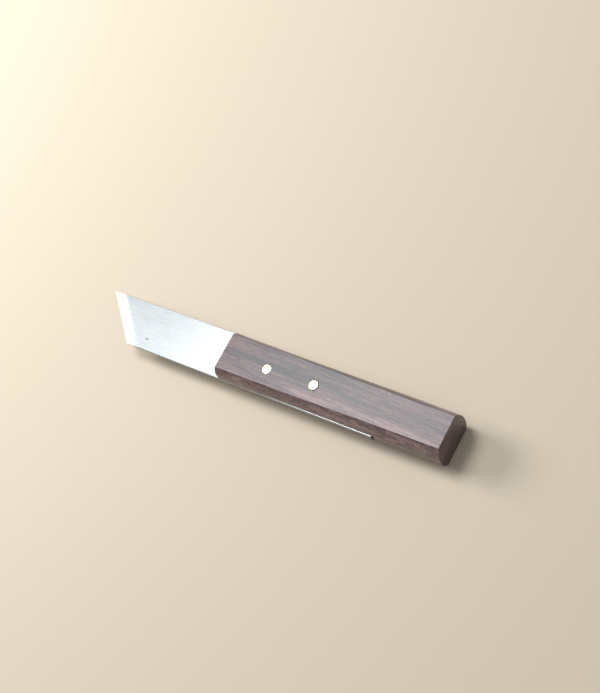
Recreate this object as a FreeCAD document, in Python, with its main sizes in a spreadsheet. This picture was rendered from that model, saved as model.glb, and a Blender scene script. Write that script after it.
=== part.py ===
import FreeCAD, Part
import math
import os

import Sketcher
from FreeCAD import Vector

# Marking knife: a flat steel blade, bevelled underneath and honed above, whose full-width tang sits in a kerf
# sawn into a one-piece hardwood handle, held by two brass pins.
#
# Row frame: +X runs from the tip to the butt, +Z out of the honed face, +Y to the side of the tip.
# The origin is the centre of the handle's resting flat, so the knife lies on Z = 0.
# Each piece is drawn in the knife's own construction frame, whose origin is the middle of the handle's
# front end, at mid-thickness, and is then placed from there.

DIMENSIONS = (
    # name, millimetres (or degrees for an angle), meaning
    ("blade_width", "19", "width of the strip, blade and tang alike"),
    ("steel_thickness", "2", "thickness of blade and tang"),
    ("tip_reach", "67.3", "handle front to tip, along the long side"),
    ("skew_angle", "44", "angle between the cutting edge and the blade's length"),
    ("bevel_width", "4", "width of the ground bevel underneath, square to the cutting edge"),
    ("honed_width", "4.3", "width of the honed facet on the upper face, square to the cutting edge"),
    ("honed_drop", "0.2", "fall of the honed facet at the cutting edge"),
    ("edge_land", "0.04", "flat left at the cutting edge after honing"),
    ("tang_length", "70", "handle front to the tang's end"),
    ("handle_length", "98", "front end to butt"),
    ("handle_thickness", "12.7", "over the two flats"),
    ("handle_shrinkage", "0.02", "how far the sides have shrunk inside the tang's edges, each"),
    ("butt_draw_in", "0.43", "how far each side has drawn in at the butt"),
    ("draw_in_length", "20", "length over which the sides draw in towards the butt"),
    ("front_flat_inset", "2.35", "upper flat to side at the front end"),
    ("shoulder_flat_inset", "2.8", "upper flat to side where its facets reach their depth"),
    ("waist_flat_inset", "2.9", "upper flat to side where the sides begin to draw in"),
    ("butt_flat_inset", "2.55", "upper flat to side at the butt"),
    ("resting_flat_inset", "2.1", "lower flat to side, all along"),
    ("shoulder_from_front", "36", "front end to where the upper facets reach their depth"),
    ("side_radius", "20", "crown of the sides"),
    ("front_facet_radius", "5.25", "crown of the upper facets at the front end"),
    ("facet_radius", "11", "crown of the upper facets from the shoulder on"),
    ("lower_facet_radius", "6", "crown of the lower facets"),
    ("planing_allowance", "0.5", "left on each flat until it is planed to thickness"),
    ("front_round", "0.7", "easing of the flats' edges at the front end"),
    ("butt_round", "0.25", "easing of the butt's edges"),
    ("kerf_clearance", "0.05", "between the tang and each wall of the kerf"),
    ("kerf_overrun", "1", "kerf left empty behind the tang's end"),
    ("pin_diameter", "4", "brass rod"),
    ("pin_clearance", "0.02", "between a pin and its hole, all round"),
    ("pin_end_break", "0.12", "broken edge at the pins' ends"),
    ("front_pin_inset", "21.3", "front end to the front pin"),
    ("pin_spacing", "21.2", "front pin to rear pin, along the handle"),
    ("front_pin_drift", "1.1", "front pin's offset from the centreline, to the heel's side"),
    ("rear_pin_drift", "0.6", "rear pin's offset from the centreline, to the heel's side"),
)

NEAR = 1e-6  # two coordinates closer than this are the same

doc = FreeCAD.newDocument("marking_knife")


def add_sheet(name, rows):
    """Write the driving dimensions into a sheet: value, name and meaning, with the name as alias."""
    sheet = doc.addObject("Spreadsheet::Sheet", name)
    for row, (alias, value, meaning) in enumerate(rows, start=1):
        sheet.set(f"A{row}", value)
        sheet.set(f"B{row}", alias)
        sheet.set(f"C{row}", meaning)
        sheet.setAlias(f"A{row}", alias)
    return sheet


dims = add_sheet("dims", DIMENSIONS)
doc.recompute()


def size(alias):
    """Current value of a driving dimension."""
    return float(dims.get(alias))


def add_body(label, place=("0", "0", "0")):
    """A sub-part, placed from the sheet: place holds the expressions for X, Y and Z."""
    body = doc.addObject("PartDesign::Body", label)
    body.Label = label
    for axis, expression in zip("xyz", place):
        body.setExpression(f"Placement.Base.{axis}", expression)
    return body


def add_sketch(body, name, plane, offset=None):
    """An empty sketch on one of the body's origin planes, moved along its normal by an expression."""
    sketch = body.newObject("Sketcher::SketchObject", name)
    support = next(feature for feature in body.Origin.OriginFeatures if feature.Role == plane)
    sketch.AttachmentSupport = [(support, "")]
    sketch.MapMode = "FlatFace"
    if offset:
        sketch.setExpression("AttachmentOffset.Base.z", offset)
    return sketch


def add_polygon(sketch, points):
    """Close straight lines through the points and return their numbers, in order."""
    corners = [Vector(x, y, 0) for x, y in points]
    lines = [
        sketch.addGeometry(Part.LineSegment(start, end), False)
        for start, end in zip(corners, corners[1:] + corners[:1])
    ]
    for line, following in zip(lines, lines[1:] + lines[:1]):
        sketch.addConstraint(Sketcher.Constraint("Coincident", line, 2, following, 1))
    return lines


def bind(sketch, name, expression, constraint):
    """Add a dimensional constraint and tie it to the sheet."""
    sketch.addConstraint(constraint)
    number = sketch.ConstraintCount - 1
    sketch.renameConstraint(number, name)
    sketch.setExpression(f"Constraints.{name}", expression)


def add_circles(sketch, holes):
    """Circles bound to the sheet: each entry has a name and expressions for diameter, X and heelward Y."""
    for name, diameter, along, drift in holes:
        centre = Vector(size("front_pin_inset"), -1, 0)
        circle = sketch.addGeometry(Part.Circle(centre, Vector(0, 0, 1), size("pin_diameter") / 2), False)
        bind(sketch, f"{name}_diameter", diameter, Sketcher.Constraint("Diameter", circle, size("pin_diameter")))
        bind(sketch, f"{name}_along", along, Sketcher.Constraint("DistanceX", -1, 1, circle, 3, centre.x))
        bind(sketch, f"{name}_drift", drift, Sketcher.Constraint("DistanceY", circle, 3, -1, 1, -centre.y))


def edges_where(feature, test):
    """Names of the feature's edges that pass the test."""
    return [f"Edge{number}" for number, edge in enumerate(feature.Shape.Edges, start=1) if test(edge)]


def extrude(body, kind, name, sketch, length=None):
    """A pad or pocket to both sides of its sketch: a bound length, or through everything."""
    feature = body.newObject(f"PartDesign::{kind}", name)
    feature.Profile = sketch
    feature.SideType = "Symmetric"
    if length:
        feature.setExpression("Length", length)
    else:
        feature.Type = "ThroughAll"
    doc.recompute()
    return feature


def dress(body, kind, name, base, edges, expressions):
    """A fillet or chamfer on named edges of the base feature, with its sizes bound to the sheet."""
    feature = body.newObject(f"PartDesign::{kind}", name)
    feature.Base = (base, edges)
    for label, expression in expressions.items():
        feature.setExpression(label, expression)
    return feature


def pin_holes(sketch):
    """The two holes for the pins, in the place that handle and tang share."""
    bore = "dims.pin_diameter + 2 * dims.pin_clearance"
    add_circles(
        sketch,
        (
            ("front", bore, "dims.front_pin_inset", "dims.front_pin_drift"),
            ("rear", bore, "dims.front_pin_inset + dims.pin_spacing", "dims.rear_pin_drift"),
        ),
    )


# The construction frame's origin, seen from the centre of the handle's resting flat.
FRONT_END = "-dims.handle_length / 2"
MID_THICKNESS = "dims.handle_thickness / 2"


def make_blade():
    """One strip of steel: skewed and bevelled in front of the handle, plain tang inside it."""
    body = add_body("blade", (FRONT_END, "0", MID_THICKNESS))

    outline = add_sketch(body, "blade_outline", "XY_Plane")
    half = size("blade_width") / 2
    setback = size("blade_width") / math.tan(math.radians(size("skew_angle")))
    tip_x, end_x = -size("tip_reach"), size("tang_length")
    corners = ((tip_x, half), (tip_x + setback, -half), (end_x, -half), (end_x, half))
    edge, heel_side, tang_end, long_side = add_polygon(outline, corners)
    outline.addConstraint(Sketcher.Constraint("Horizontal", heel_side))
    outline.addConstraint(Sketcher.Constraint("Horizontal", long_side))
    outline.addConstraint(Sketcher.Constraint("Symmetric", tang_end, 1, tang_end, 2, -1))
    bind(outline, "strip_width", "dims.blade_width",
         Sketcher.Constraint("DistanceY", tang_end, 1, tang_end, 2, 2 * half))
    bind(outline, "reach", "dims.tip_reach",
         Sketcher.Constraint("DistanceX", edge, 1, -1, 1, size("tip_reach")))
    bind(outline, "tang", "dims.tang_length",
         Sketcher.Constraint("DistanceX", -1, 1, tang_end, 1, size("tang_length")))
    bind(outline, "heel_setback", "dims.blade_width / tan(dims.skew_angle * 1 deg)",
         Sketcher.Constraint("DistanceX", edge, 1, edge, 2, setback))
    strip = extrude(body, "Pad", "strip", outline, "dims.steel_thickness")

    # The bevel is ground underneath; the upper face is only honed, which leaves a shallow facet.
    face = size("steel_thickness") / 2

    def skewed(feature, height):
        """The cutting edge's line on the face at that height."""
        return edges_where(
            feature, lambda line: abs(line.BoundBox.ZMin - height) < NEAR and line.BoundBox.ZLength < NEAR
            and line.BoundBox.XMax < 0 and line.BoundBox.YLength > NEAR
        )

    bevel = dress(body, "Chamfer", "bevel", strip, skewed(strip, -face), {})
    bevel.ChamferType = "Two distances"
    bevel.setExpression("Size", "dims.steel_thickness - dims.honed_drop - dims.edge_land")
    bevel.setExpression("Size2", "dims.bevel_width")
    doc.recompute()
    honed = dress(body, "Chamfer", "honed_facet", bevel, skewed(bevel, face), {})
    honed.ChamferType = "Two distances"
    honed.FlipDirection = True
    honed.setExpression("Size", "dims.honed_width")
    honed.setExpression("Size2", "dims.honed_drop")
    doc.recompute()

    holes = add_sketch(body, "tang_holes", "XY_Plane")
    pin_holes(holes)
    extrude(body, "Pocket", "tang_bores", holes)
    return body


def crowned_corner(half_width, inset, radius):
    """Points of an upper facet's arc on the tip's side: the centre, its upper end and where it meets the side.

    The arc passes through the flat's corner, which stands in from the side by inset, and touches the side's
    crown. It runs on above the flat by the planing allowance.
    """
    rise = size("handle_thickness") / 2
    side_centre = Vector(half_width - size("side_radius"), 0, 0)
    arris = Vector(half_width - inset, rise, 0)
    inward = side_centre - arris
    reach = size("side_radius") - radius
    along = (radius ** 2 - reach ** 2 + inward.Length ** 2) / (2 * inward.Length)
    across = (radius ** 2 - along ** 2) ** 0.5
    inward.normalize()
    centre = arris + inward * along + Vector(-inward.y, inward.x, 0) * across
    outward = (centre - side_centre).normalize()
    top = rise + size("planing_allowance")
    end = Vector(centre.x + (radius ** 2 - (top - centre.y) ** 2) ** 0.5, top, 0)
    return centre, end, side_centre + outward * size("side_radius")


def add_section(body, name, half_width, upper_inset, upper_radius, station=None):
    """Cross-section of the blank before it is planed: crowned sides and, above and below, crowned facets.

    half_width, upper_inset and upper_radius are expressions over the sheet. The facets run on past the flats'
    corners by the planing allowance, so planing the blank to thickness leaves flats of the stated insets.
    """
    sketch = add_sketch(body, name, "YZ_Plane", station)
    sheet_value = {alias: size(alias) for alias, _, _ in DIMENSIONS}

    def value(expression):
        """What a sum of sheet values comes to now."""
        total, sign = 0.0, 1
        for word in expression.split():
            if word in "+-":
                sign = 1 if word == "+" else -1
            else:
                number, _, divisor = word.partition("/")
                total += sign * sheet_value[number.removeprefix("dims.")] / float(divisor or 1)
        return total

    half = value(half_width)
    radii = {1: value(upper_radius), -1: size("lower_facet_radius")}
    insets = {1: value(upper_inset), -1: size("resting_flat_inset")}
    corners = {level: crowned_corner(half, insets[level], radii[level]) for level in (1, -1)}

    def at(point, side, level):
        """The point on one side (1 the tip's, -1 the heel's) and at one level (1 upper, -1 lower)."""
        return Vector(side * point.x, level * point.y, 0)

    def facet(side, level, downward):
        """The arc of one facet; all arcs are drawn anticlockwise."""
        centre, end, touch = corners[level]
        middle = centre + ((end - centre) + (touch - centre)).normalize() * radii[level]
        ends = (end, touch) if downward else (touch, end)
        start, finish = (at(point, side, level) for point in ends)
        return sketch.addGeometry(Part.Arc(start, at(middle, side, level), finish), False)

    def crown(side):
        """The arc of one side."""
        upper, lower = at(corners[1][2], side, 1), at(corners[-1][2], side, -1)
        start, finish = (lower, upper) if side > 0 else (upper, lower)
        return sketch.addGeometry(Part.Arc(start, Vector(side * half, 0, 0), finish), False)

    def flat(level):
        """The straight line that planing will remove."""
        end = corners[level][1]
        return sketch.addGeometry(Part.LineSegment(at(end, level, level), at(end, -level, level)), False)

    top, heel_upper, heel_side, heel_lower = flat(1), facet(-1, 1, True), crown(-1), facet(-1, -1, False)
    bottom, tip_lower, tip_side, tip_upper = flat(-1), facet(1, -1, True), crown(1), facet(1, 1, False)
    joints = (
        ("Coincident", top, 2, heel_upper, 1), ("Tangent", heel_upper, 2, heel_side, 1),
        ("Tangent", heel_side, 2, heel_lower, 1), ("Coincident", heel_lower, 2, bottom, 1),
        ("Coincident", bottom, 2, tip_lower, 1), ("Tangent", tip_lower, 2, tip_side, 1),
        ("Tangent", tip_side, 2, tip_upper, 1), ("Coincident", tip_upper, 2, top, 1),
        ("Symmetric", top, 1, top, 2, -2), ("Symmetric", bottom, 1, bottom, 2, -2),
        ("Symmetric", tip_side, 3, heel_side, 3, -2), ("PointOnObject", tip_side, 3, -1),
        ("Equal", tip_side, heel_side), ("Equal", tip_upper, heel_upper), ("Equal", tip_lower, heel_lower),
    )
    for joint in joints:
        sketch.addConstraint(Sketcher.Constraint(*joint))
    bind(sketch, "side_crown", "dims.side_radius",
         Sketcher.Constraint("Radius", tip_side, size("side_radius")))
    bind(sketch, "side_centre", f"dims.side_radius - ({half_width})",
         Sketcher.Constraint("DistanceX", tip_side, 3, -1, 1, size("side_radius") - half))
    rough = "dims.handle_thickness / 2 + dims.planing_allowance"
    height = size("handle_thickness") / 2 + size("planing_allowance")
    bind(sketch, "rough_top", rough, Sketcher.Constraint("DistanceY", -1, 1, top, 1, height))
    bind(sketch, "rough_bottom", rough, Sketcher.Constraint("DistanceY", bottom, 2, -1, 1, height))

    # The flats' corners lie on the facets, at the finished thickness.
    for label, arc, level, inset, radius in (
        ("upper", tip_upper, 1, upper_inset, upper_radius),
        ("lower", tip_lower, -1, "dims.resting_flat_inset", "dims.lower_facet_radius"),
    ):
        bind(sketch, f"{label}_crown", radius, Sketcher.Constraint("Radius", arc, radii[level]))
        place = Vector(half - insets[level], level * size("handle_thickness") / 2, 0)
        arris = sketch.addGeometry(Part.Point(place), True)
        sketch.addConstraint(Sketcher.Constraint("PointOnObject", arris, 1, arc))
        bind(sketch, f"{label}_flat", f"({half_width}) - ({inset})",
             Sketcher.Constraint("DistanceX", -1, 1, arris, 1, place.x))
        ends = (-1, 1, arris, 1) if level > 0 else (arris, 1, -1, 1)
        bind(sketch, f"{label}_rise", "dims.handle_thickness / 2",
             Sketcher.Constraint("DistanceY", *ends, abs(place.y)))
    return sketch


def plane_flats(body):
    """Plane the blank to thickness, above and below."""
    sketch = add_sketch(body, "planing", "XZ_Plane")
    allowance = size("planing_allowance")
    low, high = size("handle_thickness") / 2, size("handle_thickness") / 2 + 2 * allowance
    back = size("handle_length") + allowance
    for label, half in (("upper", 1), ("lower", -1)):
        corners = ((-allowance, half * low), (back, half * low), (back, half * high), (-allowance, half * high))
        face, far_end, outside, near_end = add_polygon(sketch, corners)
        for side, direction in ((face, "Horizontal"), (outside, "Horizontal"), (near_end, "Vertical"),
                                (far_end, "Vertical")):
            sketch.addConstraint(Sketcher.Constraint(direction, side))
        ends = (-1, 1, face, 1) if half > 0 else (face, 1, -1, 1)
        bind(sketch, f"{label}_face", "dims.handle_thickness / 2", Sketcher.Constraint("DistanceY", *ends, low))
        ends = (face, 1, outside, 1) if half > 0 else (outside, 1, face, 1)
        bind(sketch, f"{label}_depth", "2 * dims.planing_allowance",
             Sketcher.Constraint("DistanceY", *ends, high - low))
        bind(sketch, f"{label}_front", "dims.planing_allowance",
             Sketcher.Constraint("DistanceX", face, 1, -1, 1, allowance))
        bind(sketch, f"{label}_back", "dims.handle_length + dims.planing_allowance",
             Sketcher.Constraint("DistanceX", -1, 1, face, 2, back))
    return extrude(body, "Pocket", "flats", sketch)


def make_handle():
    """One block of wood: six-sided, its facets deepening behind the front end, sawn for the tang."""
    body = add_body("handle", (FRONT_END, "0", MID_THICKNESS))

    sides = "dims.blade_width/2 - dims.handle_shrinkage"
    front = add_section(body, "section_front", sides, "dims.front_flat_inset", "dims.front_facet_radius")
    shoulder = add_section(body, "section_shoulder", sides, "dims.shoulder_flat_inset", "dims.facet_radius",
                           "dims.shoulder_from_front")
    waist = add_section(body, "section_waist", sides, "dims.waist_flat_inset", "dims.facet_radius",
                        "dims.handle_length - dims.draw_in_length")
    butt = add_section(body, "section_butt", f"{sides} - dims.butt_draw_in", "dims.butt_flat_inset",
                       "dims.facet_radius", "dims.handle_length")
    block = body.newObject("PartDesign::AdditiveLoft", "block")
    block.Profile = butt
    block.Sections = [waist, shoulder, front]
    block.Ruled = True
    doc.recompute()
    flats = plane_flats(body)

    # Only the flats' own front edges are eased; the facets end crisply.
    front_edges = edges_where(flats, lambda edge: edge.BoundBox.XMax < NEAR and edge.BoundBox.ZLength < NEAR)
    eased_front = dress(body, "Fillet", "front_easing", flats, front_edges, {"Radius": "dims.front_round"})
    doc.recompute()
    butt_edges = edges_where(eased_front, lambda edge: edge.BoundBox.XMin > size("handle_length") - NEAR)
    dress(body, "Fillet", "butt_easing", eased_front, butt_edges, {"Radius": "dims.butt_round"})
    doc.recompute()

    # The kerf is open to the front and to both sides; its end stays empty behind the tang.
    kerf = add_sketch(body, "kerf_outline", "XZ_Plane")
    half = size("steel_thickness") / 2 + size("kerf_clearance")
    depth = size("tang_length") + size("kerf_overrun")
    corners = ((-half, -half), (depth, -half), (depth, half), (-half, half))
    floor, end, ceiling, mouth = add_polygon(kerf, corners)
    kerf.addConstraint(Sketcher.Constraint("Horizontal", floor))
    kerf.addConstraint(Sketcher.Constraint("Horizontal", ceiling))
    kerf.addConstraint(Sketcher.Constraint("Vertical", mouth))
    kerf.addConstraint(Sketcher.Constraint("Symmetric", end, 1, end, 2, -1))
    bind(kerf, "kerf_width", "dims.steel_thickness + 2 * dims.kerf_clearance",
         Sketcher.Constraint("DistanceY", end, 1, end, 2, 2 * half))
    bind(kerf, "kerf_depth", "dims.tang_length + dims.kerf_overrun",
         Sketcher.Constraint("DistanceX", -1, 1, end, 1, depth))
    bind(kerf, "kerf_mouth", "dims.steel_thickness",
         Sketcher.Constraint("DistanceX", mouth, 1, -1, 1, half))
    extrude(body, "Pocket", "kerf", kerf)

    holes = add_sketch(body, "handle_holes", "XY_Plane")
    pin_holes(holes)
    extrude(body, "Pocket", "handle_bores", holes)
    return body


def make_pin(label, along, drift):
    """A brass rod through handle and tang, dressed flush with both flats."""
    body = add_body(label, (f"{FRONT_END} + {along}", f"-{drift}", MID_THICKNESS))
    outline = add_sketch(body, f"{label}_outline", "XY_Plane")
    circle = outline.addGeometry(Part.Circle(Vector(0, 0, 0), Vector(0, 0, 1), size("pin_diameter") / 2), False)
    outline.addConstraint(Sketcher.Constraint("Coincident", circle, 3, -1, 1))
    bind(outline, "diameter", "dims.pin_diameter", Sketcher.Constraint("Diameter", circle, size("pin_diameter")))
    rod = extrude(body, "Pad", f"{label}_rod", outline, "dims.handle_thickness")
    rims = edges_where(rod, lambda edge: edge.BoundBox.ZLength < NEAR)
    dress(body, "Chamfer", f"{label}_break", rod, rims, {"Size": "dims.pin_end_break"})
    return body


def main():
    """Build every piece, make sure that each is sound, and write one file for each."""
    pieces = [
        make_blade(),
        make_handle(),
        make_pin("pin_front", "dims.front_pin_inset", "dims.front_pin_drift"),
        make_pin("pin_rear", "dims.front_pin_inset + dims.pin_spacing", "dims.rear_pin_drift"),
    ]
    doc.recompute()

    for item in doc.Objects:
        if {"Invalid", "Error"} & set(item.State):
            raise RuntimeError(f"{item.Label} did not build: {item.State}")
    for piece in pieces:
        if piece.Shape.isNull() or not piece.Shape.isValid() or len(piece.Shape.Solids) != 1:
            raise RuntimeError(f"{piece.Label} is not one sound solid")

    os.makedirs("parts", exist_ok=True)
    for piece in pieces:
        piece.Shape.exportStep(os.path.join("parts", f"{piece.Label}.step"))
        bounds = piece.Shape.BoundBox
        print(f"{piece.Label}: {bounds.XLength:.2f} x {bounds.YLength:.2f} x {bounds.ZLength:.2f} mm, "
              f"volume {piece.Shape.Volume:.1f} mm3")


main()
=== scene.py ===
"""Marking knife: a skew blade of flat steel, pinned through the kerf of a faceted rosewood handle.

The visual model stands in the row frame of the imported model, in metres: +X runs from the tip to the butt,
+Y to the tip's side and +Z out of the honed face. The knife lies on Z = 0.
"""

import logging
import math
from dataclasses import dataclass
from enum import Enum, IntEnum
from typing import Any, Sequence

import bmesh
import bpy
from mathutils import Matrix, Vector


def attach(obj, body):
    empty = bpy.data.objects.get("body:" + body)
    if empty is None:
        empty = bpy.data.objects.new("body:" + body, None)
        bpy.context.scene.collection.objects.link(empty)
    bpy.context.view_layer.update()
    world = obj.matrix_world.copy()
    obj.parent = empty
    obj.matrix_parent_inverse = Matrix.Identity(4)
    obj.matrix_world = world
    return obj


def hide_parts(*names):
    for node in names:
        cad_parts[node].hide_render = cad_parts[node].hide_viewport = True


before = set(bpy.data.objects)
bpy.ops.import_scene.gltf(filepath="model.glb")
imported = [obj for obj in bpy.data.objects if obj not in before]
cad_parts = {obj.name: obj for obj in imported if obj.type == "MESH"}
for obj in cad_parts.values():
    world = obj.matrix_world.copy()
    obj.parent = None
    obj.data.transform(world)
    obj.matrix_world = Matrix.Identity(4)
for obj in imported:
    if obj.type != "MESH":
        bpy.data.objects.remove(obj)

log = logging.getLogger("marking_knife")

# The picture's width in pixels and the camera sensor's in millimetres.
IMAGE_WIDTH = 600
SENSOR_WIDTH = 36.0

MM = 0.001
# Where the handle's front end and the middle of its thickness lie in the row frame.
FRONT_MM = -49.0
MIDDLE_MM = 6.35

Point = tuple[float, float]
Colour = tuple[float, float, float, float]
Link = tuple[bpy.types.Node, str | int]


class Slot(Enum):
    """The record's material slots."""

    BLADE_STEEL = "blade_steel"
    HANDLE_WOOD = "handle_wood"
    PIN_BRASS = "pin_brass"


class Ease(Enum):
    """How a value passes from one end of its range to the other."""

    STRAIGHT = "LINEAR"
    SMOOTH = "SMOOTHSTEP"


class BladeFinish(IntEnum):
    """Numbers of the blade's finishes on its faces."""

    GROUND = 0
    HONED = 1
    # The sanded edges' pale colour is a painted highlight.
    SANDED_PAINTED_HIGHLIGHT = 2


# ---------------------------------------------------------------------------------------------------------
# Shader tools
# ---------------------------------------------------------------------------------------------------------


def linear(code: str) -> Colour:
    """Turn an sRGB hex code into a linear colour.

    Args:
        code: six hex digits, with or without a leading hash.

    Returns:
        Red, green, blue and an alpha of 1.
    """
    digits = code.lstrip("#")
    channels = [int(digits[start : start + 2], 16) / 255 for start in (0, 2, 4)]
    curved = [c / 12.92 if c <= 0.04045 else ((c + 0.055) / 1.055) ** 2.4 for c in channels]
    return (*curved, 1.0)


def new_material(name: str) -> tuple[bpy.types.Material, bpy.types.NodeTree]:
    """Start a material without any nodes.

    Args:
        name: the material's name.

    Returns:
        The material and its node tree.
    """
    material = bpy.data.materials.new(name)
    material.use_nodes = True
    material.node_tree.nodes.clear()
    return material, material.node_tree


def add_node(tree: bpy.types.NodeTree, kind: str, links: dict[str | int, Link] | None = None,
             inputs: dict[str | int, Any] | None = None, **settings: Any) -> bpy.types.Node:
    """Add one node with its settings, constant inputs and incoming links.

    Args:
        tree: node tree that takes the node.
        kind: Blender's name of the node type.
        links: for each input, the node and output that feed it.
        inputs: for each input, its constant value.
        settings: properties of the node.

    Returns:
        The new node.
    """
    node = tree.nodes.new(kind)
    for name, value in settings.items():
        setattr(node, name, value)
    for key, value in (inputs or {}).items():
        node.inputs[key].default_value = value
    for key, (source, output) in (links or {}).items():
        tree.links.new(source.outputs[output], node.inputs[key])
    return node


def set_ramp(node: bpy.types.Node, stops: Sequence[tuple[float, Colour]]) -> None:
    """Give a colour ramp its stops.

    Args:
        node: the colour ramp.
        stops: position and linear colour of each stop, in order.
    """
    elements = node.color_ramp.elements
    while len(elements) > 1:
        elements.remove(elements[-1])
    elements[0].position, elements[0].color = stops[0]
    for position, colour in stops[1:]:
        elements.new(position).color = colour


def remap(tree: bpy.types.NodeTree, value: Link, before: Point, after: Point = (0.0, 1.0),
          ease: Ease = Ease.STRAIGHT) -> Link:
    """Map a range of a value onto another, with nothing beyond its ends.

    Args:
        tree: node tree that takes the node.
        value: the value that comes in.
        before: both ends of its range.
        after: what comes out at each of them.
        ease: how it passes from one to the other.

    Returns:
        The value that comes out.
    """
    ends = {"From Min": before[0], "From Max": before[1], "To Min": after[0], "To Max": after[1]}
    node = add_node(tree, "ShaderNodeMapRange", {"Value": value}, ends, interpolation_type=ease.value)
    return node, "Result"


def mix(tree: bpy.types.NodeTree, share: Link, first: Colour | Link, second: Colour | Link) -> Link:
    """Mix two colours.

    Args:
        tree: node tree that takes the node.
        share: the second colour's share, from 0 to 1.
        first: a constant colour, or the node and output that give one.
        second: the same for the other colour.

    Returns:
        The mixed colour.
    """
    links, constants = {"Factor": share}, {}
    for name, colour in (("A", first), ("B", second)):
        kind = links if isinstance(colour[0], bpy.types.Node) else constants
        kind[name] = colour
    return add_node(tree, "ShaderNodeMix", links, constants, data_type="RGBA"), "Result"


@dataclass(frozen=True)
class Streaks:
    """Noise drawn out into streaks of about the given size, and how much it counts."""

    length_mm: float
    width_mm: float
    depth_mm: float
    detail: float = 4.0
    roughness: float = 0.55
    wander: float = 0.0
    weight: float = 1.0

    def add(self, tree: bpy.types.NodeTree, place: Link) -> Link:
        """Add the streaks to a material.

        Args:
            tree: the material's node tree.
            place: where they are read, in metres.

        Returns:
            The noise, which is 0.5 on average.
        """
        scale = tuple(1 / (size * MM) for size in (self.length_mm, self.width_mm, self.depth_mm))
        drawn_out = add_node(tree, "ShaderNodeMapping", {"Vector": place}, {"Scale": scale})
        noise = add_node(tree, "ShaderNodeTexNoise", {"Vector": (drawn_out, "Vector")},
                         {"Scale": 1.0, "Detail": self.detail, "Roughness": self.roughness,
                          "Distortion": self.wander})
        return noise, "Fac"


# ---------------------------------------------------------------------------------------------------------
# Finishes
# ---------------------------------------------------------------------------------------------------------


@dataclass(frozen=True)
class ToolSteel:
    """Tool steel, worked along its length with an abrasive, which leaves fine scratches.

    The scratches stretch the highlights across the blade.
    """

    name: str
    colour: str
    dark_colour: str
    roughness: float
    scratch_length_mm: float
    scratch_bump: float
    # Real scratches are about 0.02 mm apart. They are drawn ten times as coarse, so that they show.
    scratch_spacing_mm: float = 0.2
    scratch_depth_mm: float = 0.02
    scratch_noise_roughness: float = 0.65
    # Between these two levels of the noise the roughness goes from its lowest to its highest.
    gloss_levels: Point = (0.3, 0.7)
    gloss_spread: float = 0.02
    # One dark speck lies on the blade's upper face, which is 1 mm above mid-thickness.
    speck_place_mm: tuple[float, float, float] = (-88.5, -5.0, MIDDLE_MM + 1.0)
    speck_radius_mm: float = 0.45
    speck_softness: float = 0.5
    speck_colour: str = "4A4A46"
    speck_weight: float = 0.95

    def material(self) -> bpy.types.Material:
        """Build the material, with the scratches along X.

        Returns:
            The material.
        """
        material, tree = new_material(self.name)
        place = add_node(tree, "ShaderNodeTexCoord")
        scratches = Streaks(self.scratch_length_mm, self.scratch_spacing_mm, self.scratch_spacing_mm,
                            roughness=self.scratch_noise_roughness).add(tree, (place, "Object"))
        tone = mix(tree, scratches, linear(self.dark_colour), linear(self.colour))
        spotted = mix(tree, self.speck(tree, (place, "Object")), tone, linear(self.speck_colour))
        gloss = remap(tree, scratches, self.gloss_levels,
                      (self.roughness - self.gloss_spread, self.roughness + self.gloss_spread))
        bump = add_node(tree, "ShaderNodeBump", {"Height": scratches},
                        {"Strength": self.scratch_bump, "Distance": self.scratch_depth_mm * MM})
        shader = add_node(tree, "ShaderNodeBsdfPrincipled",
                          {"Base Color": spotted, "Roughness": gloss, "Normal": (bump, "Normal")},
                          {"Metallic": 1.0})
        add_node(tree, "ShaderNodeOutputMaterial", {"Surface": (shader, "BSDF")})
        return material

    def speck(self, tree: bpy.types.NodeTree, place: Link) -> Link:
        """Mask the dark speck.

        Args:
            tree: the material's node tree.
            place: where the mask is read, in metres.

        Returns:
            The mask, 0 away from the speck.
        """
        away = add_node(tree, "ShaderNodeVectorMath", {0: place},
                        {1: tuple(at * MM for at in self.speck_place_mm)}, operation="DISTANCE")
        inner = (1 - self.speck_softness) * self.speck_radius_mm * MM
        outer = (1 + self.speck_softness) * self.speck_radius_mm * MM
        return remap(tree, (away, "Value"), (inner, outer), (self.speck_weight, 0.0), Ease.SMOOTH)


# The flat faces: surface-ground, then rubbed on fine abrasive paper, which leaves them a cool, silky grey.
GROUND_STEEL = ToolSteel(name="tool_steel_surface_ground", colour="B1B6B8", dark_colour="8E9598",
                         roughness=0.28, scratch_length_mm=14.0, scratch_bump=0.08)
# The facet and the bevel at the cutting edge: honed on fine stones, so that they are bright and smooth.
HONED_STEEL = ToolSteel(name="tool_steel_honed", colour="DADDDE", dark_colour="D2D6D8",
                        roughness=0.14, scratch_length_mm=30.0, scratch_bump=0.03)
# The long edges: sanded level with the wood on coarser paper, so that they are matt.
# Their colour, paler than any steel, is a painted highlight along the edges.
SANDED_STEEL_PAINTED_HIGHLIGHT = ToolSteel(name="tool_steel_sanded_edge_painted_highlight", colour="F4F6F7", dark_colour="EFF1F2",
                         roughness=0.7, scratch_length_mm=60.0, scratch_bump=0.0)


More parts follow.
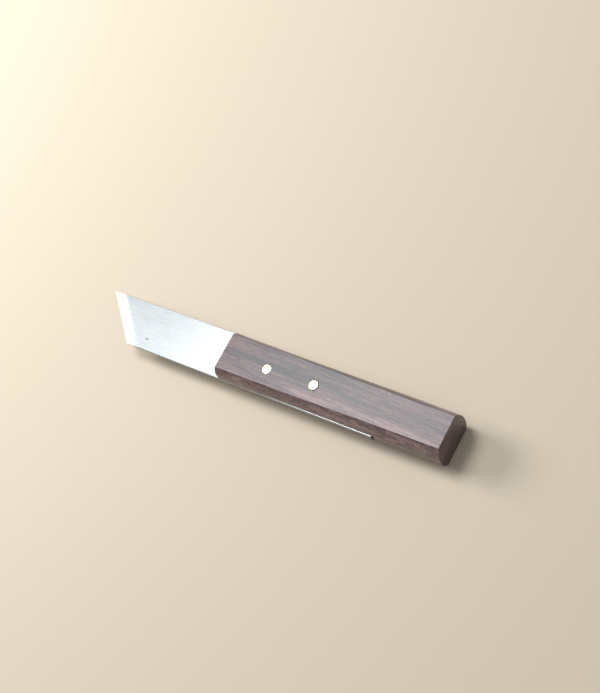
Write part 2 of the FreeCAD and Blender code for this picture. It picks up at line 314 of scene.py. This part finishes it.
@dataclass(frozen=True)
class OiledRosewood:
    """Dark rosewood, planed to its facets, then oiled and waxed, so that it has a satin sheen.

    Growth rings show as blue-grey and reddish streaks along the flats. The sawn ends drink the oil and are
    darker, with the rings as fine lines.
    """

    name: str = "rosewood_planed_and_oiled"
    # The tones of the flats, and the level of the summed streaks at which each one shows.
    tones: tuple[str, ...] = ("2D303D", "433E49", "604A4A", "846465", "54454E", "9A7B7E")
    tone_levels: tuple[float, ...] = (0.34, 0.43, 0.5, 0.56, 0.61, 0.68)
    middle_level: float = 0.52
    roughness: float = 0.45
    refraction: float = 1.5
    wax_weight: float = 0.6
    wax_roughness: float = 0.26
    ring_tilt_degrees: float = 28.0
    grain_slope_degrees: float = 3.0
    # Growth rings, the fine lines in them, and thin layers that show where a facet cuts through them.
    rings: Streaks = Streaks(60.0, 3.4, 10.2, wander=0.3, weight=0.75)
    lines: Streaks = Streaks(24.0, 0.5, 2.0, weight=0.75)
    layers: Streaks = Streaks(60.0, 6.0, 0.35, weight=0.3)
    # Real pores are about 0.1 mm wide. They are drawn three times as coarse, so that they show.
    pores: Streaks = Streaks(2.6, 0.3, 0.3, weight=0.75)
    pore_levels: Point = (0.36, 0.47)
    pore_colour: str = "2A2022"
    pore_depth_mm: float = 0.05
    pore_bump: float = 0.25
    # The dark streak along the middle: how its line bends, half its width, its slant and how dark it is.
    heart_bends: Streaks = Streaks(16.0, 9.0, 9.0, detail=3.0, roughness=0.5)
    heart_width_mm: float = 2.2
    heart_slant: float = 0.015
    heart_weight: float = 0.13
    end_lines: Streaks = Streaks(60.0, 9.0, 0.4, roughness=0.6)
    end_levels: Point = (0.35, 0.65)
    end_tones: tuple[str, str] = ("30272A", "7A6462")
    # A face counts as a sawn end from the first share of its normal along X on, and fully from the second.
    end_facing: Point = (0.7, 0.95)

    def material(self) -> bpy.types.Material:
        """Build the material, with the grain along X.

        Returns:
            The material.
        """
        material, tree = new_material(self.name)
        place = add_node(tree, "ShaderNodeTexCoord")
        turn = (math.radians(self.ring_tilt_degrees), 0.0, math.radians(self.grain_slope_degrees))
        grain = add_node(tree, "ShaderNodeMapping", {"Vector": (place, "Object")}, {"Rotation": turn})
        pores = self.pores.add(tree, (grain, "Vector"))
        pore_mask = remap(tree, pores, self.pore_levels, (self.pores.weight, 0.0))
        flats = mix(tree, pore_mask, self.figure(tree, place, grain), linear(self.pore_colour))
        tone = mix(tree, self.sawn_ends(tree, place), flats, self.end_figure(tree, place))
        bump = add_node(tree, "ShaderNodeBump", {"Height": pores},
                        {"Strength": self.pore_bump, "Distance": self.pore_depth_mm * MM})
        shader = add_node(tree, "ShaderNodeBsdfPrincipled",
                          {"Base Color": tone, "Normal": (bump, "Normal")},
                          {"Roughness": self.roughness, "IOR": self.refraction,
                           "Coat Weight": self.wax_weight, "Coat Roughness": self.wax_roughness})
        add_node(tree, "ShaderNodeOutputMaterial", {"Surface": (shader, "BSDF")})
        return material

    def figure(self, tree: bpy.types.NodeTree, place: bpy.types.Node, grain: bpy.types.Node) -> Link:
        """Colour the flats: rings, fine lines and thin layers, and the dark streak along the middle.

        Args:
            tree: the material's node tree.
            place: the texture coordinates.
            grain: the same, turned so that X follows the grain and Y crosses the rings.

        Returns:
            The wood's colour without its pores.
        """
        parts = (self.rings, self.lines, self.layers)
        # Each noise is 0.5 on average, so from this base the sum's average is the middle level.
        base = self.middle_level - 0.5 * sum(part.weight for part in parts)
        level = remap(tree, self.off_heart(tree, place), (0.0, self.heart_width_mm * MM),
                      (base - self.heart_weight, base), Ease.SMOOTH)
        for part in parts:
            raised = add_node(tree, "ShaderNodeMath", {0: part.add(tree, (grain, "Vector")), 2: level},
                              {1: part.weight}, operation="MULTIPLY_ADD")
            level = (raised, "Value")
        ramp = add_node(tree, "ShaderNodeValToRGB", {"Fac": level})
        set_ramp(ramp, [(at, linear(code)) for at, code in zip(self.tone_levels, self.tones)])
        return ramp, "Color"

    def off_heart(self, tree: bpy.types.NodeTree, place: bpy.types.Node) -> Link:
        """Measure how far a point lies from the line that wanders along the middle of the flats.

        Args:
            tree: the material's node tree.
            place: the texture coordinates.

        Returns:
            The distance sideways, in metres.
        """
        here = add_node(tree, "ShaderNodeSeparateXYZ", {"Vector": (place, "Object")})
        bends = self.heart_bends.add(tree, (place, "Object"))
        bent = add_node(tree, "ShaderNodeMath", {0: bends, 2: (here, "Y")},
                        {1: 2 * self.heart_width_mm * MM}, operation="MULTIPLY_ADD")
        centred = add_node(tree, "ShaderNodeMath", {0: (bent, "Value")}, {1: self.heart_width_mm * MM},
                           operation="SUBTRACT")
        slanted = add_node(tree, "ShaderNodeMath", {0: (here, "X"), 2: (centred, "Value")},
                           {1: self.heart_slant}, operation="MULTIPLY_ADD")
        return add_node(tree, "ShaderNodeMath", {0: (slanted, "Value")}, operation="ABSOLUTE"), "Value"

    def end_figure(self, tree: bpy.types.NodeTree, place: bpy.types.Node) -> Link:
        """Fine dark lines along the long side of the sawn ends."""
        share = remap(tree, self.end_lines.add(tree, (place, "Object")), self.end_levels)
        return mix(tree, share, *(linear(code) for code in self.end_tones))

    def sawn_ends(self, tree: bpy.types.NodeTree, place: bpy.types.Node) -> Link:
        """Mask the two ends, which face along the grain.

        Args:
            tree: the material's node tree.
            place: the texture coordinates.

        Returns:
            The mask, 1 on the ends.
        """
        facing = add_node(tree, "ShaderNodeSeparateXYZ", {"Vector": (place, "Normal")})
        along = add_node(tree, "ShaderNodeMath", {0: (facing, "X")}, operation="ABSOLUTE")
        return remap(tree, (along, "Value"), self.end_facing)


@dataclass(frozen=True)
class FiledBrass:
    """Brass rod, filed and sanded level with the wood, which leaves it bright with short fine scratches."""

    name: str = "brass_filed_flush"
    colour: str = "F0DFB4"
    roughness: float = 0.28
    # Real scratches are about 0.04 mm apart. They are drawn three times as coarse, so that they show.
    scratches: Streaks = Streaks(3.0, 0.12, 0.12, detail=3.0, roughness=0.5)
    scratch_depth_mm: float = 0.02
    scratch_bump: float = 0.15

    def material(self) -> bpy.types.Material:
        """Build the material, with the scratches along X as the file went.

        Returns:
            The material.
        """
        material, tree = new_material(self.name)
        place = add_node(tree, "ShaderNodeTexCoord")
        bump = add_node(tree, "ShaderNodeBump", {"Height": self.scratches.add(tree, (place, "Object"))},
                        {"Strength": self.scratch_bump, "Distance": self.scratch_depth_mm * MM})
        shader = add_node(tree, "ShaderNodeBsdfPrincipled", {"Normal": (bump, "Normal")},
                          {"Base Color": linear(self.colour), "Metallic": 1.0, "Roughness": self.roughness})
        add_node(tree, "ShaderNodeOutputMaterial", {"Surface": (shader, "BSDF")})
        return material


# ---------------------------------------------------------------------------------------------------------
# Shape tools
# ---------------------------------------------------------------------------------------------------------


def new_object(name: str, data: bpy.types.ID) -> bpy.types.Object:
    """Make an object and link it to the scene.

    Args:
        name: the object's name.
        data: the mesh, lamp or camera that it holds.

    Returns:
        The object.
    """
    holder = bpy.data.objects.new(name, data)
    bpy.context.scene.collection.objects.link(holder)
    return holder


def settle(bm: bmesh.types.BMesh, name: str) -> bpy.types.Object:
    """Turn a drawn shape's faces outwards and make it an object.

    Args:
        bm: the shape, which is freed.
        name: the object's name.

    Returns:
        The object.
    """
    bmesh.ops.recalc_face_normals(bm, faces=bm.faces)
    mesh = bpy.data.meshes.new(name)
    bm.to_mesh(mesh)
    bm.free()
    return new_object(name, mesh)


def prism(name: str, outline: Sequence[Point], low: float, high: float) -> bpy.types.Object:
    """Make a closed prism that stands along Z.

    Args:
        name: the object's name.
        outline: X and Y of its corners, in millimetres.
        low: Z of its base.
        high: Z of its top.

    Returns:
        The prism's object.
    """
    bm = bmesh.new()
    base = bm.faces.new([bm.verts.new((x, y, low)) for x, y in outline])
    grown = bmesh.ops.extrude_face_region(bm, geom=[base])["geom"]
    bmesh.ops.translate(bm, verts=[item for item in grown if isinstance(item, bmesh.types.BMVert)],
                        vec=(0.0, 0.0, high - low))
    return settle(bm, name)


def circle(along: float, across: float, radius: float, count: int = 64) -> list[Point]:
    """Corners of a many-sided circle, anticlockwise."""
    turns = (2 * math.pi * step / count for step in range(count))
    return [(along + radius * math.cos(turn), across + radius * math.sin(turn)) for turn in turns]


def cut(piece: bpy.types.Object, cutters: Sequence[bpy.types.Object]) -> None:
    """Cut the cutters out of the piece's mesh and delete them.

    Args:
        piece: the object that is cut, drawn in millimetres.
        cutters: closed objects, drawn in millimetres too.
    """
    for cutter in cutters:
        change = piece.modifiers.new(cutter.name, "BOOLEAN")
        change.operation, change.solver, change.object = "DIFFERENCE", "MANIFOLD", cutter
    bpy.context.view_layer.update()
    done = bpy.data.meshes.new_from_object(piece.evaluated_get(bpy.context.evaluated_depsgraph_get()))
    piece.modifiers.clear()
    piece.data = done
    for cutter in cutters:
        bpy.data.objects.remove(cutter)


def finish_piece(piece: bpy.types.Object, node: str, materials: Sequence[bpy.types.Material],
                 sharp_degrees: float) -> None:
    """Bring the piece from millimetres to metres, shade it, dress it and put it in the node's place.

    Args:
        piece: the finished shape.
        node: the CAD node that it stands for.
        materials: its finishes, in the order of its faces' numbers.
        sharp_degrees: edges that turn by more than this stay crisp.
    """
    mesh = piece.data
    mesh.transform(Matrix.Scale(MM, 4))
    mesh.materials.clear()
    for material in materials:
        mesh.materials.append(material)
    mesh.shade_smooth()
    mesh.set_sharp_from_angle(angle=math.radians(sharp_degrees))
    evened = piece.modifiers.new("even_normals", "WEIGHTED_NORMAL")
    evened.keep_sharp = True
    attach(piece, "root")
    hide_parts(node)
    log.info("%s: %d faces, dressed in %s", piece.name, len(mesh.polygons),
             " and ".join(material.name for material in materials))


# ---------------------------------------------------------------------------------------------------------
# Pieces
# ---------------------------------------------------------------------------------------------------------


@dataclass(frozen=True)
class Pin:
    """One brass pin, and how far it stands behind the handle's front end and to the heel's side."""

    node: str
    inset_mm: float
    drift_mm: float
    radius_mm: float = 2.0
    clearance_mm: float = 0.02
    end_break_mm: float = 0.24
    crown_mm: float = 0.02
    crown_steps: int = 4
    sides: int = 96
    sharp_degrees: float = 20.0

    @property
    def centre(self) -> Point:
        """X and Y of the pin's axis."""
        return FRONT_MM + self.inset_mm, -self.drift_mm

    def bore(self, name: str, low_mm: float, high_mm: float) -> bpy.types.Object:
        """Make the cutter for the pin's hole, between two heights above the resting flat."""
        outline = circle(*self.centre, self.radius_mm + self.clearance_mm, self.sides)
        return prism(name, outline, low_mm, high_mm)

    def profile(self) -> list[Point]:
        """Trace the pin's section from the middle of its upper end to the middle of its lower end.

        Returns:
            Radius and height above mid-thickness of each point.
        """
        rim = self.radius_mm - self.end_break_mm
        shares = (step / self.crown_steps for step in range(self.crown_steps + 1))
        upper = [(rim * share, MIDDLE_MM - self.crown_mm * share**2) for share in shares]
        upper.append((self.radius_mm, MIDDLE_MM - self.crown_mm - self.end_break_mm))
        return upper + [(radius, -height) for radius, height in reversed(upper)]

    def build(self, material: bpy.types.Material) -> bpy.types.Object:
        """Make the pin: a rod with broken rims, its ends left faintly crowned by the file.

        Args:
            material: the brass's finish.

        Returns:
            The pin's object, which stands for the CAD node.
        """
        bm = bmesh.new()
        rings = []
        for radius, height in self.profile():
            places = circle(*self.centre, radius, self.sides) if radius else [self.centre]
            rings.append([bm.verts.new((x, y, MIDDLE_MM + height)) for x, y in places])
        for upper, lower in zip(rings, rings[1:]):
            for i in range(self.sides):
                j = (i + 1) % self.sides
                # At an end's middle the ring is one corner, and the faces there are triangles.
                corners = dict.fromkeys((upper[i % len(upper)], upper[j % len(upper)],
                                         lower[j % len(lower)], lower[i % len(lower)]))
                bm.faces.new(list(corners))
        piece = settle(bm, self.node.replace("pin", "brass_pin"))
        finish_piece(piece, self.node, [material], self.sharp_degrees)
        return piece


PINS = (Pin("pin_front", 21.3, 1.1), Pin("pin_rear", 42.5, 0.6))


@dataclass
class Section:
    """The handle's cross-section at one station, in millimetres from the middle of its thickness."""

    station_mm: float
    half_width_mm: float
    upper_inset_mm: float
    upper_radius_mm: float
    lower_inset_mm: float = 2.1
    lower_radius_mm: float = 6.0
    side_radius_mm: float = 20.0
    rise_mm: float = MIDDLE_MM
    arris_mm: float = 0.3
    arris_points: int = 5
    facet_points: int = 14
    side_points: int = 6

    @property
    def side(self) -> Vector:
        """Centre of the crowned side's arc, on the tip's side."""
        return Vector((self.half_width_mm - self.side_radius_mm, 0.0))

    def facet(self, inset: float, radius: float) -> tuple[Vector, Vector]:
        """Fit a facet's arc between the flat's corner and the side, which it meets tangentially.

        Args:
            inset: how far the flat's corner stands in from the half width.
            radius: radius of the facet.

        Returns:
            Centre of the arc and the point where it meets the side, both for the upper tip side.
        """
        corner = Vector((self.half_width_mm - inset, self.rise_mm))
        inward = self.side - corner
        reach = self.side_radius_mm - radius
        along = (radius**2 - reach**2 + inward.length_squared) / (2 * inward.length)
        across = math.sqrt(radius**2 - along**2)
        inward.normalize()
        centre = corner + inward * along + Vector((-inward.y, inward.x)) * across
        return centre, self.side + (centre - self.side).normalized() * self.side_radius_mm

    def corner(self, inset: float, radius: float) -> list[Vector]:
        """Trace the outline from a flat down its facet to the side, the arris softly rounded.

        Args:
            inset: how far the flat's corner stands in from the half width.
            radius: radius of the facet.

        Returns:
            The points, for the upper tip side.
        """
        centre, touch = self.facet(inset, radius)
        arris = Vector((0.0, self.rise_mm - self.arris_mm))
        arris.x = centre.x + math.sqrt((radius - self.arris_mm) ** 2 - (arris.y - centre.y) ** 2)
        turn_end = math.atan2(arris.y - centre.y, arris.x - centre.x)
        facet_end = math.atan2(touch.y - centre.y, touch.x - centre.x)
        return (self.arc(arris, self.arris_mm, math.pi / 2, turn_end, self.arris_points)
                + self.arc(centre, radius, turn_end, facet_end, self.facet_points)[1:])

    @staticmethod
    def arc(centre: Vector, radius: float, start: float, end: float, count: int) -> list[Vector]:
        """Evenly spaced points on an arc, both ends included."""
        turns = (start + (end - start) * step / (count - 1) for step in range(count))
        return [centre + radius * Vector((math.cos(turn), math.sin(turn))) for turn in turns]

    def ring(self) -> list[Vector]:
        """Trace the whole outline, clockwise from the upper flat's corner on the tip's side.

        Returns:
            The points.
        """
        upper = self.corner(self.upper_inset_mm, self.upper_radius_mm)
        lower = [Vector((p.x, -p.y)) for p in self.corner(self.lower_inset_mm, self.lower_radius_mm)]
        start, end = (math.atan2(touch.y, touch.x - self.side.x) for touch in (upper[-1], lower[-1]))
        crown = self.arc(self.side, self.side_radius_mm, start, end, self.side_points)
        half = upper + crown[1:-1] + lower[::-1]
        return half + [Vector((-p.x, p.y)) for p in reversed(half)]


@dataclass
class Handle:
    """The wooden handle, with its kerf and the bores for its pins."""

    length_mm: float = 98.0
    front_round_mm: float = 0.35
    butt_round_mm: float = 0.16
    round_steps: int = 5
    kerf_end_mm: float = 71.0
    kerf_half_mm: float = 1.05
    overrun_mm: float = 2.0
    chip_shift_mm: Point = (0.36, -0.17)
    chip_depth_mm: float = 1.2
    sharp_degrees: float = 28.0
    sections: tuple[Section, ...] = (
        Section(0.0, 9.44, 2.16, 5.25),
        Section(12.0, 9.42, 2.16, 9.5),
        Section(36.0, 9.38, 2.2, 12.5),
        Section(58.0, 9.42, 2.66, 11.2),
        Section(78.0, 9.46, 2.9, 11.0),
        Section(98.0, 9.05, 2.65, 11.0),
    )
    # Stations of the rings between the two rounded ends.
    between_mm: tuple[float, ...] = (4.0, 8.0, 12.0, 18.0, 24.0, 30.0, 36.0, 47.0, 58.0, 64.0, 70.3, 78.0,
                                     84.0, 90.0, 95.0)

    def outline(self, station: float) -> list[Vector]:
        """Blend the sections on both sides of a station evenly.

        Args:
            station: millimetres behind the front end.

        Returns:
            The outline's points there.
        """
        for before, after in zip(self.sections, self.sections[1:]):
            if station <= after.station_mm:
                break
        share = (station - before.station_mm) / (after.station_mm - before.station_mm)
        return [a.lerp(b, share) for a, b in zip(before.ring(), after.ring())]

    def rounding(self, radius: float) -> list[Point]:
        """Depth in from an end and inset of each ring that rounds it, from the end on."""
        turns = (math.pi / 2 * step / self.round_steps for step in range(self.round_steps + 1))
        return [(radius * (1 - math.cos(turn)), radius * (1 - math.sin(turn))) for turn in turns]

    def stations(self) -> list[Point]:
        """List the rings from front to butt.

        Returns:
            Each ring's station and how far its points stand in.
        """
        butt = self.rounding(self.butt_round_mm)[::-1]
        return [*self.rounding(self.front_round_mm),
                *((station, 0.0) for station in self.between_mm),
                *((self.length_mm - depth, inset) for depth, inset in butt)]

    def build(self, material: bpy.types.Material) -> bpy.types.Object:
        """Make the handle.

        Args:
            material: the wood's finish.

        Returns:
            The handle's object, which stands for the CAD node.
        """
        bm = bmesh.new()
        rings = []
        for station, inset in self.stations():
            ring = []
            for point in self.outline(station):
                across = point.x * (1 - inset / self.sections[0].half_width_mm)
                height = point.y * (1 - inset / MIDDLE_MM)
                ring.append(bm.verts.new((FRONT_MM + station, across, MIDDLE_MM + height)))
            rings.append(ring)
        for near, far in zip(rings, rings[1:]):
            for i in range(len(near)):
                j = (i + 1) % len(near)
                bm.faces.new((near[i], near[j], far[j], far[i]))
        bm.faces.new(rings[0])
        bm.faces.new(rings[-1])
        piece = settle(bm, "handle_wood")
        cut(piece, self.cutters())
        finish_piece(piece, "handle", [material], self.sharp_degrees)
        return piece

    def cutters(self) -> list[bpy.types.Object]:
        """Make the kerf, the two bores and the chipped rim beside the rear pin.

        Returns:
            The cutters' objects.
        """
        start, end = FRONT_MM - self.overrun_mm, FRONT_MM + self.kerf_end_mm
        wide = 2 * self.sections[0].half_width_mm
        low, high = -self.overrun_mm, 2 * MIDDLE_MM + self.overrun_mm
        kerf = prism("kerf", [(start, -wide), (end, -wide), (end, wide), (start, wide)],
                     MIDDLE_MM - self.kerf_half_mm, MIDDLE_MM + self.kerf_half_mm)
        bores = [pin.bore(f"{pin.node}_bore", low, high) for pin in PINS]
        along, across = (at + shift for at, shift in zip(PINS[-1].centre, self.chip_shift_mm))
        chip = prism("chip", circle(along, across, PINS[-1].radius_mm),
                     2 * MIDDLE_MM - self.chip_depth_mm, high)
        return [kerf, *bores, chip]


@dataclass
class Blade:
    """The steel strip: blade in front of the handle, tang in its kerf."""

    half_width_mm: float = 9.5
    half_thickness_mm: float = 1.0
    tip_mm: float = -67.3
    skew_degrees: float = 44.0
    tang_end_mm: float = 70.0
    honed_mm: float = 4.3
    honed_drop_mm: float = 0.2
    bevel_mm: float = 4.0
    land_mm: float = 0.04
    edge_break_mm: float = 0.1
    # Behind the handle's front end the tip's side of the tang is sanded level with the crowned wood.
    sanded_mm: float = 0.22
    overrun_mm: float = 1.0
    sharp_degrees: float = 1.5

    def build(self, finishes: Sequence[bpy.types.Material]) -> bpy.types.Object:
        """Make the blade.

        Args:
            finishes: the material for each BladeFinish, in order.

        Returns:
            The blade's object, which stands for the CAD node.
        """
        piece = settle(self.strip(), "blade_steel")
        # The mesh has its materials before the cut, so that the cut keeps the faces' numbers.
        for material in finishes:
            piece.data.materials.append(material)
        bores = [pin.bore(f"{pin.node}_tang_bore", 0.0, 2 * MIDDLE_MM) for pin in PINS]
        cut(piece, [self.sanding(), *bores])
        finish_piece(piece, "blade", finishes, self.sharp_degrees)
        return piece

    def strip(self) -> bmesh.types.BMesh:
        """Draw the whole strip, its skewed end honed and bevelled and its long edges broken.

        Returns:
            The strip, with each face's finish.
        """
        skew = math.radians(self.skew_degrees)
        wide, top = self.half_width_mm, self.half_thickness_mm
        heel = self.tip_mm + 2 * wide / math.tan(skew)
        honed_back, bevel_back = self.honed_mm / math.sin(skew), self.bevel_mm / math.sin(skew)
        edge_top = top - self.honed_drop_mm
        # Each row has its X on the tip's side and on the heel's side; the rows go round the strip.
        rows = (
            (self.tang_end_mm, self.tang_end_mm, top),
            (self.tip_mm + honed_back, heel + honed_back, top),
            (self.tip_mm, heel, edge_top),
            (self.tip_mm, heel, edge_top - self.land_mm),
            (self.tip_mm + bevel_back, heel + bevel_back, -top),
            (self.tang_end_mm, self.tang_end_mm, -top),
        )
        bm = bmesh.new()
        corners = [[bm.verts.new((FRONT_MM + x, y, MIDDLE_MM + z))
                    for x, y in ((tip_side, wide), (heel_side, -wide))] for tip_side, heel_side, z in rows]
        faces = [bm.faces.new((near[0], near[1], far[1], far[0]))
                 for near, far in zip(corners, corners[1:] + corners[:1])]
        # The long edges take the sanded finish, whose pale colour is a painted highlight.
        for side in (0, 1):
            bm.faces.new([pair[side] for pair in corners]).material_index = BladeFinish.SANDED_PAINTED_HIGHLIGHT
        # The honed facet, the edge's land and the bevel.
        for face in faces[1:4]:
            face.material_index = BladeFinish.HONED
        long_edges = [edge for edge in bm.edges if edge.verts[0].co.yz == edge.verts[1].co.yz]
        bmesh.ops.bevel(bm, geom=long_edges, offset=self.edge_break_mm, segments=2, profile=0.5,
                        affect="EDGES")
        return bm

    def sanding(self) -> bpy.types.Object:
        """Make the cutter that takes the tip's side of the tang down.

        Returns:
            The cutter's object.
        """
        level, clear = self.half_width_mm - self.sanded_mm, 2 * self.half_width_mm
        start = FRONT_MM + self.edge_break_mm
        end = FRONT_MM + self.tang_end_mm + self.overrun_mm
        return prism("sanding", [(start, level), (end, level), (end, clear), (start, clear)],
                     0.0, 2 * MIDDLE_MM)


# ---------------------------------------------------------------------------------------------------------
# Studio
# ---------------------------------------------------------------------------------------------------------


@dataclass(frozen=True)
class Softbox:
    """One soft lamp: where it stands as seen from the knife, how large it is, in metres, and how bright."""

    name: str
    azimuth_degrees: float
    elevation_degrees: float
    distance: float
    width: float
    height: float
    radiance: float

    def build(self) -> bpy.types.Object:
        """Make the lamp, facing the knife.

        Returns:
            The lamp's object.
        """
        azimuth, elevation = math.radians(self.azimuth_degrees), math.radians(self.elevation_degrees)
        towards = Vector((math.cos(azimuth) * math.cos(elevation), math.sin(azimuth) * math.cos(elevation),
                          math.sin(elevation)))
        lamp = bpy.data.lights.new(self.name, "AREA")
        lamp.shape = "RECTANGLE"
        lamp.size, lamp.size_y = self.width, self.height
        lamp.energy = self.radiance * math.pi * self.width * self.height
        holder = new_object(self.name, lamp)
        holder.location = towards * self.distance
        holder.rotation_mode = "QUATERNION"
        holder.rotation_quaternion = towards.to_track_quat("Z", "Y")
        return holder


@dataclass
class Studio:
    """Pale floor, soft light and the camera."""

    floor_colour: str = "ECDFCA"
    floor_roughness: float = 0.9
    floor_reach: float = 3.0
    world_colour: str = "FFFFFF"
    world_strength: float = 0.25
    focal_pixels: float = 1242.98
    camera_place_mm: tuple[float, float, float] = (224.463, -104.788, 380.543)
    camera_right: tuple[float, float, float] = (0.7974918, 0.4676247, -0.3812271)
    camera_forward: tuple[float, float, float] = (-0.5345198, 0.2545676, -0.8059056)
    camera_clip: Point = (0.01, 20.0)
    softboxes: tuple[Softbox, ...] = (
        Softbox("window_softbox", 180.0, 28.0, 0.9, 0.42, 0.26, 15.0),
        Softbox("overhead_softbox", 153.0, 62.0, 0.9, 0.36, 0.34, 8.6),
        Softbox("edge_card", 167.0, 44.6, 0.9, 0.07, 0.05, 2.0),
    )

    def build(self) -> None:
        """Make the floor, the world, the lamps and the camera."""
        self.build_floor()
        self.build_world()
        for softbox in self.softboxes:
            softbox.build()
        self.build_camera()
        bpy.context.scene.view_settings.view_transform = "Standard"

    def build_floor(self) -> None:
        """Lay a plain matt floor under the knife."""
        reach = self.floor_reach
        corners = [(-reach, -reach, 0), (reach, -reach, 0), (reach, reach, 0), (-reach, reach, 0)]
        mesh = bpy.data.meshes.new("floor")
        mesh.from_pydata(corners, [], [(0, 1, 2, 3)])
        floor = new_object("floor", mesh)
        material, tree = new_material("matt_paper")
        shader = add_node(tree, "ShaderNodeBsdfPrincipled", None,
                          {"Base Color": linear(self.floor_colour), "Roughness": self.floor_roughness})
        add_node(tree, "ShaderNodeOutputMaterial", {"Surface": (shader, "BSDF")})
        mesh.materials.append(material)

    def build_world(self) -> None:
        """Fill the room with plain soft light."""
        world = bpy.data.worlds.new("studio")
        world.use_nodes = True
        background = world.node_tree.nodes["Background"]
        background.inputs["Color"].default_value = linear(self.world_colour)
        background.inputs["Strength"].default_value = self.world_strength
        bpy.context.scene.world = world

    def build_camera(self) -> None:
        """Set the camera at the viewing angle."""
        data = bpy.data.cameras.new("camera")
        data.sensor_fit = "HORIZONTAL"
        data.sensor_width = SENSOR_WIDTH
        # The sensor's width takes in the picture's width.
        data.lens = self.focal_pixels / IMAGE_WIDTH * SENSOR_WIDTH
        data.clip_start, data.clip_end = self.camera_clip
        right, forward = Vector(self.camera_right), Vector(self.camera_forward)
        up = right.cross(forward).normalized()
        turn = Matrix((right, up, -forward)).transposed()
        camera = new_object("camera", data)
        camera.matrix_world = Matrix.Translation(Vector(self.camera_place_mm) * MM) @ turn.to_4x4()
        bpy.context.scene.camera = camera


# ---------------------------------------------------------------------------------------------------------
# Main
# ---------------------------------------------------------------------------------------------------------


def main() -> None:
    """Build the knife and the studio round it."""
    logging.basicConfig(level=logging.INFO, format="%(message)s")
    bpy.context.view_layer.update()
    Blade().build([steel.material() for steel in (GROUND_STEEL, HONED_STEEL, SANDED_STEEL_PAINTED_HIGHLIGHT)])
    Handle().build(OiledRosewood().material())
    brass = FiledBrass().material()
    for pin in PINS:
        pin.build(brass)
    Studio().build()
    bpy.context.view_layer.update()


if __name__ == "__main__":
    main()
